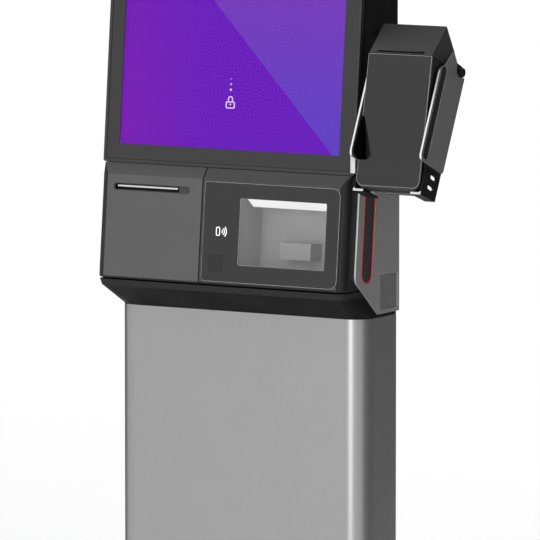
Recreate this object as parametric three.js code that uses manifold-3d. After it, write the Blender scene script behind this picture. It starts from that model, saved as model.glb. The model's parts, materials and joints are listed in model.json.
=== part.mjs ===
// Self checkout kiosk: base plate, sheet-metal pedestal, printer and scanner module,
// portrait touch display, and a tilting side cradle that holds a card terminal.
// Millimetres, +Z up, -Y is the customer's side, origin at the middle of the underside.

import * as THREE from 'three';
import { mergeVertices } from 'three/addons/utils/BufferGeometryUtils.js';
import Module from 'manifold-3d';

const wasm = await Module();
wasm.setup();

// ---------------------------------------------------------------- driving dimensions
const GAP = 0.3;
const ARC = 6;

const MAT = { width: 404, depth: 354, height: 2, radius: 28 };
const BASE = { width: 420, depth: 370, height: 8, radius: 34 };
const BASE_TOP = MAT.height + GAP + BASE.height;

const PEDESTAL_TOP = 870;
const PEDESTAL = { half: 150.8, front: -36, back: 35, radius: 21, rear: 3, wall: 2 };
const DOORWAY = { half: 130, bottom: 110, top: 840 };
const REAR_DOOR = { left: -128, right: 136, lap: 10, thickness: 2 };
const REAR_HINGE = { x: -134, y: 40, barrel: 4, pin: 2 };
const REAR_LOCK = { x: 116, z: 480, collar: 11, core: 6 };

const HEAD_HALF = 152.9;
const MODULE = { half: 151, wall: 3, bottom: 32.5, shoulder: 141.5, top: 153, edge: 3, corner: 10 };
const MODULE_TILT = THREE.MathUtils.degToRad(5.5);
const MODULE_FOOT = { y: -78.8, z: 32 };
const SHOULDER_BACK = 8.6;
const SEAM_X = -24.5;
const FRAME_RIGHT = 144;
const SKIRT = { lip: 24.5, top: 31, wall: 3 };
const DOOR_HINGE = { y: -73, z: 37.5 };
const RECEIPT = { left: -133.5, right: -40, bottom: 125.3, top: 132.7, paperRight: -53.5 };
const SCAN = { left: 22.5, right: 126.3, bottom: 54.8, top: 123.7 };

const PANEL = { inner: 151.3, outer: 153.3, setback: 20.3, bottom: 3.9, top: 150.3, radius: 12 };
const PANEL_CUT_Y = -9.7;
const INLAY = { low: { y: -33.4, z: 49.5 }, high: { y: -26.2, z: 124 }, radius: 11.4, rim: 1.5 };
const PORT = { front: -5.2, back: 30.4, bottom: 8.4, top: 44.4 };

const DISPLAY_TILT = THREE.MathUtils.degToRad(5.19);
const DISPLAY_FOOT = { y: -59.68, z: 153.6 };
const DISPLAY_TOP = 668;
const ACTIVE = { half: 133.9, bottom: 19.7, height: 476 };
const BEZEL = { thickness: 3, carrier: 8.2, rim: 3.5 };
const HOUSING_WALL = 2.5;
const CABLE_WAY = { left: 20, right: 80, front: 2, back: 24 };

const ROLL = { y: -12, z: 82, radius: 38, left: -133.4, right: -54, core: 6.5 };
const PLATEN = { y: -57, z: 121, radius: 6, shaft: 2.5 };
const CHASSIS = { left: -140, right: -48 };

const CRADLE_TILT = THREE.MathUtils.degToRad(25);
const CRADLE_FOOT = { y: -85.9, z: 182.2 };
const CHEEK = { left: 163, right: 247.8, skin: 2 };
const PLATE = { skin: 2, back: 51.8, rest: 35 };
const FLANGE = { width: 12, thickness: 2.4, front: 19.5, frontFoot: -36.2, backFoot: -32.9 };
const BRACKET = { left: 186, right: 224, front: 54, back: 57, bottom: -26, top: 112 };
const ROD = { w: 41.3, v: 106, radius: 4.8 };
const TERMINAL = { left: 168, width: 75, foot: -30.5, face: 18.3, brow: 103.4, browDepth: -14, back: 33.4 };
const HOOD = { top: { w: 2.1, v: 142.2 }, heel: { w: 29.8, v: 123.1 }, shell: 2 };
const COVER_REAR = 30.4;
const TERMINAL_ROLL = { w: 13, v: 108, radius: 16, core: 6 };

// ---------------------------------------------------------------- materials
const finish = (color, roughness, metalness) => ({ color, roughness, metalness });
const RUBBER = finish(0x1c1c1d, 0.9, 0);
const DARK_STEEL = finish(0x3a3b3d, 0.5, 0.6);
const SILVER_PAINT = finish(0xa6a6a8, 0.38, 0.7);
const GREY_PAINT = finish(0x5e5e60, 0.45, 0.4);
const BLACK_PLASTIC = finish(0x18181a, 0.5, 0);
const GRAPHITE_PLASTIC = finish(0x424244, 0.45, 0);
const DOOR_PLASTIC = finish(0x606062, 0.5, 0);
const BLACK_GLASS = finish(0x3f3f41, 0.15, 0);
const SCREEN = finish(0x5a22b8, 0.2, 0);
const RED_TRIM = finish(0xb42830, 0.4, 0);
const BRIGHT_STEEL = finish(0xc4c5c8, 0.3, 0.9);
const WHITE_PLASTIC = finish(0xe8e8e6, 0.5, 0);
const PAPER = finish(0xf2f1ec, 0.9, 0);
const CIRCUIT = finish(0x1f5a3a, 0.6, 0);

// ---------------------------------------------------------------- shape helpers
const root = new THREE.Group();

function solid(geometry) {
  const bare = geometry.clone();
  bare.deleteAttribute('normal');
  bare.deleteAttribute('uv');
  const merged = mergeVertices(bare, 1e-4);
  return new wasm.Manifold(new wasm.Mesh({
    numProp: 3,
    vertProperties: new Float32Array(merged.attributes.position.array),
    triVerts: new Uint32Array(merged.index.array),
  }));
}

function add(name, shape, look, parent = root) {
  const data = shape.getMesh();
  const indexed = new THREE.BufferGeometry();
  indexed.setAttribute('position', new THREE.BufferAttribute(data.vertProperties, 3));
  indexed.setIndex(new THREE.BufferAttribute(data.triVerts, 1));
  const geometry = indexed.toNonIndexed();
  geometry.computeVertexNormals();
  const mesh = new THREE.Mesh(geometry, new THREE.MeshStandardMaterial(look));
  mesh.name = name;
  parent.add(mesh);
  return mesh;
}

function join(...shapes) {
  return shapes.reduce((whole, shape) => whole.add(shape));
}

function cut(shape, ...tools) {
  return tools.reduce((rest, tool) => rest.subtract(tool), shape);
}

// A box given by its lowest and highest corners.
function box(x0, x1, y0, y1, z0, z1) {
  const geometry = new THREE.BoxGeometry(x1 - x0, y1 - y0, z1 - z0);
  geometry.translate((x0 + x1) / 2, (y0 + y1) / 2, (z0 + z1) / 2);
  return solid(geometry);
}

function polygon(points) {
  return new THREE.Shape(points.map(([a, b]) => new THREE.Vector2(a, b)));
}

// A rectangle with rounded corners, one radius for all four or one for each,
// in the order low-left, low-right, high-right, high-left.
function rounded(x0, x1, y0, y1, radius) {
  const r = Array.isArray(radius) ? radius : [radius, radius, radius, radius];
  const shape = new THREE.Shape();
  shape.moveTo(x0 + r[0], y0);
  shape.lineTo(x1 - r[1], y0);
  shape.absarc(x1 - r[1], y0 + r[1], r[1], -Math.PI / 2, 0);
  shape.lineTo(x1, y1 - r[2]);
  shape.absarc(x1 - r[2], y1 - r[2], r[2], 0, Math.PI / 2);
  shape.lineTo(x0 + r[3], y1);
  shape.absarc(x0 + r[3], y1 - r[3], r[3], Math.PI / 2, Math.PI);
  shape.lineTo(x0, y0 + r[0]);
  shape.absarc(x0 + r[0], y0 + r[0], r[0], Math.PI, Math.PI * 1.5);
  return shape;
}

// Two half circles joined by straight sides.
function capsule(from, to, radius) {
  const along = Math.atan2(to.z - from.z, to.y - from.y);
  const shape = new THREE.Shape();
  shape.absarc(to.y, to.z, radius, along - Math.PI / 2, along + Math.PI / 2);
  shape.absarc(from.y, from.z, radius, along + Math.PI / 2, along + Math.PI * 1.5);
  shape.closePath();
  return shape;
}

function extrude(shape, depth) {
  return new THREE.ExtrudeGeometry(shape, { depth, bevelEnabled: false, curveSegments: ARC });
}

// Shape in XY, extruded upwards.
function slab(shape, z0, z1) {
  const geometry = extrude(shape, z1 - z0);
  geometry.translate(0, 0, z0);
  return solid(geometry);
}

// Shape in YZ, extruded along X.
function profile(shape, x0, x1) {
  const geometry = extrude(shape, x1 - x0);
  geometry.applyMatrix4(new THREE.Matrix4().set(0, 0, 1, x0, 1, 0, 0, 0, 0, 1, 0, 0, 0, 0, 0, 1));
  return solid(geometry);
}

// Shape in XZ, extruded along Y.
function plate(shape, y0, y1) {
  const geometry = extrude(shape, y1 - y0);
  geometry.rotateX(Math.PI / 2);
  geometry.translate(0, y1, 0);
  return solid(geometry);
}

// A round bar along X, Y or Z between two stations.
function bar(axis, centre, radius, start, end, sides = 20) {
  const geometry = new THREE.CylinderGeometry(radius, radius, end - start, sides);
  const middle = (start + end) / 2;
  if (axis === 'x') {
    geometry.rotateZ(Math.PI / 2);
    geometry.translate(middle, centre[0], centre[1]);
  } else if (axis === 'y') {
    geometry.translate(centre[0], middle, centre[1]);
  } else {
    geometry.rotateX(Math.PI / 2);
    geometry.translate(centre[0], centre[1], middle);
  }
  return solid(geometry);
}

// The outline of a box seen from above, with its own radius for front and rear corners.
function ring({ half, front, back, radius, rear }) {
  const corners = [
    [-half + radius, front + radius, radius, Math.PI],
    [half - radius, front + radius, radius, Math.PI * 1.5],
    [half - rear, back - rear, rear, 0],
    [-half + rear, back - rear, rear, Math.PI / 2],
  ];
  return corners.flatMap(([x, y, r, start]) => Array.from({ length: ARC + 1 }, (_, i) => {
    const angle = start + (i / ARC) * Math.PI / 2;
    return [x + r * Math.cos(angle), y + r * Math.sin(angle)];
  }));
}

// A closed skin through rings at rising heights.
function loft(levels) {
  const rings = levels.map((level) => ring(level).map(([x, y]) => [x, y, level.z]));
  const count = rings[0].length;
  const index = [];
  for (let i = 0; i < rings.length - 1; i += 1) {
    for (let j = 0; j < count; j += 1) {
      const a = i * count + j;
      const b = i * count + ((j + 1) % count);
      index.push(a, b, b + count, a, b + count, a + count);
    }
  }
  const last = (rings.length - 1) * count;
  for (let j = 1; j < count - 1; j += 1) {
    index.push(0, j + 1, j);
    index.push(last, last + j, last + j + 1);
  }
  const geometry = new THREE.BufferGeometry();
  geometry.setAttribute('position', new THREE.Float32BufferAttribute(rings.flat(2), 3));
  geometry.setIndex(index);
  return solid(geometry);
}

// A stack of slots through a wall that faces the rear.
function vents(half, bottom, count) {
  return Array.from({ length: count }, (_, i) => {
    const z = bottom + i * 14;
    const slot = polygon([
      [-half, z + 2.5], [-half + 2.5, z], [half - 2.5, z],
      [half, z + 2.5], [half - 2.5, z + 5], [-half + 2.5, z + 5],
    ]);
    return plate(slot, 28, 45);
  });
}

function mirrorX(shape) {
  return shape.mirror([1, 0, 0]);
}

// ---------------------------------------------------------------- base and pedestal
function base() {
  const mat = rounded(-MAT.width / 2, MAT.width / 2, -MAT.depth / 2, MAT.depth / 2, MAT.radius);
  add('base_mat', slab(mat, 0, MAT.height), RUBBER);
  const outline = rounded(-BASE.width / 2, BASE.width / 2, -BASE.depth / 2, BASE.depth / 2, BASE.radius);
  add('base_plate', slab(outline, MAT.height + GAP, BASE_TOP), DARK_STEEL);
  const flange = slab(rounded(-120, 120, -30, 28, 4), BASE_TOP + GAP, BASE_TOP + GAP + 6);
  const passage = bar('z', [0, 0], 16, BASE_TOP, BASE_TOP + 10);
  const upstand = cut(box(-120, 120, -30, 28, BASE_TOP + GAP, 44), box(-117, 117, -27, 25, BASE_TOP, 45));
  add('base_socket', join(cut(flange, passage), upstand), DARK_STEEL);
}

function pedestalShell() {
  const bottom = BASE_TOP + GAP;
  const outer = { ...PEDESTAL };
  const wall = PEDESTAL.wall;
  const inner = {
    half: outer.half - wall, front: outer.front + wall, back: outer.back - wall,
    radius: outer.radius - wall, rear: 1,
  };
  const skin = cut(
    loft([{ ...outer, z: bottom }, { ...outer, z: PEDESTAL_TOP }]),
    loft([{ ...inner, z: bottom - 1 }, { ...inner, z: PEDESTAL_TOP + 1 }]),
  );
  const doorway = box(-DOORWAY.half, DOORWAY.half, 30, 40, DOORWAY.bottom, DOORWAY.top);
  const inletHole = box(-92, -34, 30, 40, 48, 74);
  let shell = cut(skin, doorway, inletHole);
  for (const z of [240, 640]) {
    const leaf = box(-148, REAR_HINGE.x, 34.5, 36.2, z, z + 60);
    const knuckle = bar('z', [REAR_HINGE.x, REAR_HINGE.y], REAR_HINGE.barrel, z, z + 60, 16);
    const web = box(REAR_HINGE.x - REAR_HINGE.barrel, REAR_HINGE.x - 1, 35, REAR_HINGE.y, z, z + 60);
    const bore = bar('z', [REAR_HINGE.x, REAR_HINGE.y], REAR_HINGE.pin + GAP, z - 1, z + 61, 16);
    shell = cut(join(shell, leaf, web, knuckle), bore);
  }
  add('pedestal_shell', shell, SILVER_PAINT);
  const lid = slab(rounded(-147, 147, -32.6, 32.6, [18, 18, 2, 2]), 866, 869);
  add('pedestal_top_plate', cut(lid, bar('z', [0, 0], 26, 860, 875)), DARK_STEEL);
}

function rearDoor() {
  const y0 = PEDESTAL.back + GAP + 0.2;
  const y1 = y0 + REAR_DOOR.thickness;
  const z0 = DOORWAY.bottom - REAR_DOOR.lap;
  const z1 = DOORWAY.top + REAR_DOOR.lap;
  let door = plate(rounded(REAR_DOOR.left, REAR_DOOR.right, z0, z1, 3), y0, y1);
  for (const [x0, x1] of [[-122, -120], [123, 125]]) {
    door = join(door, box(x0, x1, 25, y1, z0 + 14, z1 - 14));
  }
  const camSweep = box(122, 126, 20, y0, REAR_LOCK.z - 30, REAR_LOCK.z + 30);
  door = cut(door, camSweep, ...vents(60, DOORWAY.bottom + 60, 5), ...vents(60, DOORWAY.top - 130, 5));
  for (const z of [180, 300.5, 580, 700.5]) {
    const length = 59.5;
    const knuckle = bar('z', [REAR_HINGE.x, REAR_HINGE.y], REAR_HINGE.barrel, z, z + length, 16);
    const web = box(REAR_HINGE.x, REAR_DOOR.left + 4, y0 + 0.2, REAR_HINGE.y + 1.5, z, z + length);
    const bore = bar('z', [REAR_HINGE.x, REAR_HINGE.y], REAR_HINGE.pin + GAP, z - 1, z + 61, 16);
    door = cut(join(door, web, knuckle), bore);
  }
  const hole = bar('y', [REAR_LOCK.x, REAR_LOCK.z], REAR_LOCK.core + GAP, 20, 50);
  add('rear_door', cut(door, hole), SILVER_PAINT);
  add('rear_hinge_rod', bar('z', [REAR_HINGE.x, REAR_HINGE.y], REAR_HINGE.pin, 178, 762, 12), BRIGHT_STEEL);

  const collar = bar('y', [REAR_LOCK.x, REAR_LOCK.z], REAR_LOCK.collar, y1 + GAP, y1 + 3, 24);
  add('rear_lock_collar', cut(collar, hole), BRIGHT_STEEL);
  const core = bar('y', [REAR_LOCK.x, REAR_LOCK.z], REAR_LOCK.core, 29.5, y1 + 4.2, 20);
  const cam = box(REAR_LOCK.x - 6, REAR_LOCK.x + 6, 29.5, 32, REAR_LOCK.z - 26, REAR_LOCK.z + 6);
  const keyway = box(
    REAR_LOCK.x - 3.2, REAR_LOCK.x + 3.2, y1 + 1.5, y1 + 5, REAR_LOCK.z - 0.7, REAR_LOCK.z + 0.7,
  );
  add('rear_lock_core', cut(join(core, cam), keyway), BRIGHT_STEEL);
}

function power() {
  const supply = join(
    box(-70, 70, -32.5, 6, 200, 330),
    box(-84, 84, -33.7, -31.7, 212, 318),
  );
  add('power_supply', supply, DARK_STEEL);
  const body = join(
    plate(rounded(-98, -28, 44, 78, 4), 35.3, 38.3),
    box(-91.5, -34.5, 10, 36, 48.5, 73.5),
  );
  const socket = plate(polygon([
    [-88, 52.5], [-88, 65.5], [-84, 69.5], [-68, 69.5], [-64, 65.5], [-64, 52.5],
  ]), 22, 40);
  const rockerWell = box(-54.6, -39.4, 24, 40, 50.4, 71.6);
  add('power_inlet', cut(body, socket, rockerWell), BLACK_PLASTIC);
  const rocker = profile(polygon([
    [26, 53], [37.6, 51.6], [40, 52.2], [37.8, 61], [37.2, 69.6], [26, 69],
  ]), -53.9, -40.1);
  add('power_rocker', rocker, BLACK_PLASTIC);
}

// ---------------------------------------------------------------- printer and scanner module
const faceY = (z) => MODULE_FOOT.y + (z - MODULE_FOOT.z) * Math.tan(MODULE_TILT);

// The module's outer form, shrunk on every side but its top by an inset.
function moduleForm(inset, bottom, top) {
  const { half, edge, corner, shoulder } = MODULE;
  const base = { half: half - inset, back: PEDESTAL.back - inset, radius: corner - inset, rear: 1 };
  const levels = [];
  if (inset === 0) {
    for (const turn of [0, 1, 2]) {
      const angle = (turn * Math.PI) / 6;
      const z = bottom + edge * (1 - Math.cos(angle));
      levels.push({ ...base, z, front: faceY(z) + edge * (1 - Math.sin(angle)) });
    }
    levels.push({ ...base, z: bottom + edge, front: faceY(bottom + edge) });
  } else {
    levels.push({ ...base, z: bottom, front: faceY(bottom) + inset });
  }
  levels.push({ ...base, z: shoulder, front: faceY(shoulder) + inset });
  levels.push({ ...base, z: top, front: faceY(shoulder) + SHOULDER_BACK + inset, radius: 2.2 });
  return loft(levels);
}

// The space in front of a plane, between two sides: it parts the front pieces from the housing.
function frontZone(x0, x1, back, low, high) {
  return box(x0, x1, -100, back, low, high);
}

// The right end of the bevel above the scanner, which runs out to the module's corner.
function bevelCorner(grow) {
  const { shoulder, top } = MODULE;
  const x = FRAME_RIGHT + grow;
  const shape = polygon([[x, shoulder], [x + 8, top + 1], [x - 20, top + 1], [x - 20, shoulder]]);
  return plate(shape, -100, -52);
}

const head = new THREE.Group();
head.position.z = PEDESTAL_TOP;
root.add(head);

const faceFrame = new THREE.Group();
faceFrame.position.set(0, MODULE_FOOT.y, MODULE_FOOT.z);
faceFrame.rotation.x = -MODULE_TILT;
head.add(faceFrame);

// Height along the tilted face for a height above the pedestal.
const alongFace = (z) => (z - MODULE_FOOT.z) / Math.cos(MODULE_TILT);

// Moves a shape drawn in the tilted face frame into the head's frame.
function fromFace(shape) {
  return shape
    .rotate([-THREE.MathUtils.radToDeg(MODULE_TILT), 0, 0])
    .translate([0, MODULE_FOOT.y, MODULE_FOOT.z]);
}

function lowerHousing() {
  const { wall, bottom, top } = MODULE;
  const outer = moduleForm(0, bottom, top);
  const cavity = moduleForm(wall + GAP + 0.1, bottom + wall, top - wall);
  const doorZone = frontZone(-155, SEAM_X - 0.4, -58, 20, top + 1);
  const frameZone = frontZone(SEAM_X + 0.4, FRAME_RIGHT + GAP, -52, 20, top + 1);
  const divider = box(SEAM_X - 1.6, SEAM_X + 1.6, -68, 34, bottom, top - 1);
  const cableHole = box(-12, 60, -30, 20, bottom - 2, bottom + 8);
  const cableWay = box(
    CABLE_WAY.left, CABLE_WAY.right, CABLE_WAY.front, CABLE_WAY.back, top - wall - 2, top + 1,
  );
  const divided = join(cut(outer, cavity), divider.intersect(moduleForm(wall + GAP, bottom, top)));
  const housing = cut(divided, doorZone, frameZone, bevelCorner(GAP), cableHole, cableWay);
  add('lower_housing', housing, BLACK_PLASTIC, head);
}

function receiptSlot() {
  const z0 = alongFace(RECEIPT.bottom);
  const z1 = alongFace(RECEIPT.top);
  const mouth = plate(rounded(RECEIPT.left, RECEIPT.right, z0, z1, 3.2), -2, 12);
  const lip = plate(rounded(RECEIPT.left + GAP, RECEIPT.right - GAP, z0 + GAP, z1 - GAP, 2.9), 0.6, 2.6);
  const paperWay = plate(rounded(RECEIPT.left + 1.3, RECEIPT.paperRight, z0 + 0.8, z1 - 0.8, 1.6), -2, 12);
  return { mouth: fromFace(mouth), insert: cut(lip, paperWay) };
}

function printerDoor() {
  const { wall, bottom, top } = MODULE;
  const skin = cut(moduleForm(0, bottom, top), moduleForm(wall, bottom - 1, top + 1));
  let door = skin.intersect(frontZone(-152, SEAM_X - 0.8, -59.5, 20, top + 1));
  for (const x of [-141, -41]) {
    const knuckle = bar('x', [DOOR_HINGE.y, DOOR_HINGE.z], 4.2, x, x + 10, 16);
    const foot = box(x, x + 10, faceY(38) + 1, DOOR_HINGE.y, DOOR_HINGE.z - 2, DOOR_HINGE.z + 4.2);
    door = join(door, knuckle, foot);
  }
  for (const x of [-136.6, -53]) {
    const arm = profile(polygon([
      [faceY(105) + 1, 105], [faceY(138) + 1, 138], [PLATEN.y, 127.5], [PLATEN.y + 6, 121], [PLATEN.y, 114.5],
    ]), x, x + 2);
    door = join(door, arm);
  }
  const pinBore = bar('x', [DOOR_HINGE.y, DOOR_HINGE.z], 2.4, -150, -20, 16);
  const shaftBore = bar('x', [PLATEN.y, PLATEN.z], PLATEN.shaft + GAP, -150, -40, 16);
  const slot = receiptSlot();
  add('printer_door', cut(door, pinBore, shaftBore, slot.mouth), DOOR_PLASTIC, head);
  add('receipt_slot_insert', slot.insert, BLACK_PLASTIC, faceFrame);
  const pin = bar('x', [DOOR_HINGE.y, DOOR_HINGE.z], 2, -147.2, SEAM_X - 2, 12);
  add('door_hinge_pin', pin, BRIGHT_STEEL, head);
}

function printer() {
  const sides = [CHASSIS.left, CHASSIS.right].map((x) => profile(polygon([
    [-46, 39], [29, 39], [29, 146], [-42, 146], [-46, 112],
  ]), x, x + 2));
  const floor = box(CHASSIS.left, CHASSIS.right + 2, -46, 29, 37, 39.5);
  const back = box(CHASSIS.left, CHASSIS.right + 2, 27, 29, 39, 146);
  const spindleBore = bar('x', [ROLL.y, ROLL.z], 4.3, -150, -40, 16);
  add('printer_chassis', cut(join(floor, back, ...sides), spindleBore), BRIGHT_STEEL, head);
  const spindle = join(
    bar('x', [ROLL.y, ROLL.z], 4, CHASSIS.left - 3, CHASSIS.right + 5, 16),
    bar('x', [ROLL.y, ROLL.z], 7, CHASSIS.right + 2 + GAP, CHASSIS.right + 5, 16),
  );
  add('paper_spindle', spindle, BLACK_PLASTIC, head);
  const roll = cut(
    bar('x', [ROLL.y, ROLL.z], ROLL.radius, ROLL.left, ROLL.right, 40),
    bar('x', [ROLL.y, ROLL.z], ROLL.core, ROLL.left - 1, ROLL.right + 1, 20),
  );
  add('paper_roll', roll, PAPER, head);
  const platen = join(
    bar('x', [PLATEN.y, PLATEN.z], PLATEN.radius, ROLL.left - 0.6, ROLL.right + 0.6, 24),
    bar('x', [PLATEN.y, PLATEN.z], PLATEN.shaft, -137.4, -48.6, 16),
  );
  add('platen_roller', platen, RUBBER, head);
  const span = [CHASSIS.left + 2 + GAP, CHASSIS.right - GAP];
  add('print_head', box(...span, -49.4, -43.4, 113, 130), DARK_STEEL, head);
  const blade = join(box(...span, -52, -42, 134, 143), box(-133, -54, -55.6, -51, 134, 135.4));
  add('paper_cutter', blade, BRIGHT_STEEL, head);
}

function scanner() {
  const { wall, bottom, top } = MODULE;
  const skin = cut(moduleForm(0, bottom, top), moduleForm(wall, bottom - 1, top + 1));
  const reach = join(
    frontZone(SEAM_X + 0.8, FRAME_RIGHT, -52, 20, MODULE.shoulder),
    frontZone(SEAM_X + 0.8, FRAME_RIGHT - 10, -52, MODULE.shoulder - 1, top + 1),
    bevelCorner(0),
  );
  const low = alongFace(35.6);
  const high = alongFace(140.2);
  const corners = [5, 9, 9, 3];
  const pocket = plate(rounded(SEAM_X + 2.4, FRAME_RIGHT - 1.4, low, high, corners), -1, 1.9);
  const z0 = alongFace(SCAN.bottom);
  const z1 = alongFace(SCAN.top);
  const throat = plate(rounded(SCAN.left - 2.5, SCAN.right + 2.5, z0 - 2.5, z1 + 2.5, 2), -1, 6);
  const frame = cut(skin.intersect(reach), fromFace(pocket), fromFace(throat));
  add('scanner_frame', frame, GRAPHITE_PLASTIC, head);

  const panelCorners = corners.map((radius) => radius - GAP);
  const panel = plate(
    rounded(SEAM_X + 2.7, FRAME_RIGHT - 1.7, low + GAP, high - GAP, panelCorners), 0.2, 1.6,
  );
  const opening = plate(rounded(SCAN.left, SCAN.right, z0, z1, 1), -1, 3);
  add('scanner_panel', cut(panel, opening), BLACK_GLASS, faceFrame);
  const glass = plate(rounded(SCAN.left + GAP, SCAN.right - GAP, z0 + GAP, z1 - GAP, 0.8), 0.3, 1.5);
  add('scan_window', glass, BLACK_GLASS, faceFrame);

  const chamber = cut(
    box(SCAN.left - 5, SCAN.right + 5, 3.5, 52, z0 - 5, z1 + 5),
    box(SCAN.left - 2.5, SCAN.right + 2.5, 3, 49.5, z0 - 2.5, z1 + 2.5),
  );
  add('scan_chamber', chamber, WHITE_PLASTIC, faceFrame);
  const glow = profile(polygon([
    [3.8, z1 + 2], [3.8, z1 - 0.5], [15.5, z1 - 8], [16.6, z1 - 6.3], [5.6, z1 + 2],
  ]), SCAN.left + 6.5, SCAN.right + 2);
  add('scan_light_bar', glow, WHITE_PLASTIC, faceFrame);
  add('scan_engine', box(56, 94, 27, 49.2, z0 + 8, z0 + 26), DARK_STEEL, faceFrame);
  add('contactless_antenna', box(-15, 16, 3.4, 4.8, alongFace(70), alongFace(102)), CIRCUIT, faceFrame);
  const driver = join(
    box(-16, 10, 3.4, 8, alongFace(41), alongFace(66)),
    bar('y', [-3, alongFace(53.5)], 10, 7, 17, 24),
  );
  add('speaker', driver, BLACK_PLASTIC, faceFrame);
}

function skirt() {
  const { lip, top, wall } = SKIRT;
  const levels = [
    { z: GAP, half: 150.6, front: PEDESTAL.front, radius: PEDESTAL.radius },
    { z: lip, half: 150.2, front: -75.6, radius: 11 },
    { z: top, half: 150.9, front: -77.4, radius: 10 },
  ];
  const outer = levels.map((level) => ({ ...level, back: PEDESTAL.back - 0.2, rear: 3 }));
  const inner = outer.map((level, i) => ({
    ...level, z: level.z + (i === 0 ? -1 : i - 1), half: level.half - wall, front: level.front + wall,
    back: level.back - wall, radius: level.radius - wall, rear: 1,
  }));
  add('skirt', cut(loft(outer), loft(inner)), BLACK_PLASTIC, head);
}

// ---------------------------------------------------------------- side panels
function panelOutline() {
  const { setback, bottom, top, radius } = PANEL;
  const lean = Math.tan(MODULE_TILT);
  const front = (z) => faceY(z) + setback;
  const cutStart = 42.5;
  const corner = new THREE.Vector2(front(cutStart), cutStart);
  const up = new THREE.Vector2(lean, 1).normalize();
  const down = new THREE.Vector2(PANEL_CUT_Y - corner.x, bottom - corner.y).normalize();
  const reach = radius * Math.tan((Math.PI - up.angleTo(down)) / 2);
  const shape = new THREE.Shape();
  shape.moveTo(PANEL_CUT_Y, bottom);
  shape.lineTo(PEDESTAL.back - 1.5, bottom);
  shape.lineTo(PEDESTAL.back - 0.3, bottom + 1.2);
  shape.lineTo(PEDESTAL.back - 0.3, top);
  shape.lineTo(front(top) + 1.2, top);
  shape.lineTo(front(top - 1.2), top - 1.2);
  shape.lineTo(corner.x + up.x * reach, corner.y + up.y * reach);
  shape.quadraticCurveTo(corner.x, corner.y, corner.x + down.x * reach, corner.y + down.y * reach);
  return shape;
}

function sidePanels() {
  const { inner, outer } = PANEL;
  const opening = profile(capsule(INLAY.low, INLAY.high, INLAY.radius + GAP), inner - 1, outer + 1);
  const portHole = profile(rounded(PORT.front, PORT.back, PORT.bottom, PORT.top, 1.5), inner - 1, outer + 1);
  const panel = cut(profile(panelOutline(), inner, outer), opening, portHole);
  const rim = cut(
    profile(capsule(INLAY.low, INLAY.high, INLAY.radius), inner + 0.2, outer + 0.2),
    profile(capsule(INLAY.low, INLAY.high, INLAY.radius - INLAY.rim), inner - 1, outer + 1),
  );
  const inlay = profile(
    capsule(INLAY.low, INLAY.high, INLAY.radius - INLAY.rim - GAP), inner + 0.2, outer - 0.3,
  );
  let cover = profile(
    rounded(PORT.front + 0.4, PORT.back - 0.4, PORT.bottom + 0.4, PORT.top - 0.4, 1.1),
    inner + 0.2, outer - 0.5,
  );
  for (let i = 0; i < 5; i += 1) {
    const y = PORT.front + 7 + i * 5.2;
    cover = cut(cover, box(outer - 1.1, outer, y, y + 2, PORT.bottom + 6, PORT.top - 6));
  }
  const pieces = {
    side_panel: [panel, GREY_PAINT],
    inlay_rim: [rim, RED_TRIM],
    side_inlay: [inlay, BLACK_PLASTIC],
    port_cover: [cover, GREY_PAINT],
  };
  for (const [name, [shape, look]] of Object.entries(pieces)) {
    add(`${name}_right`, shape, look, head);
    add(`${name}_left`, mirrorX(shape), look, head);
  }
}

// ---------------------------------------------------------------- display
const displayFrame = new THREE.Group();
displayFrame.position.set(0, DISPLAY_FOOT.y, DISPLAY_FOOT.z);
displayFrame.rotation.x = -DISPLAY_TILT;
head.add(displayFrame);

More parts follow.
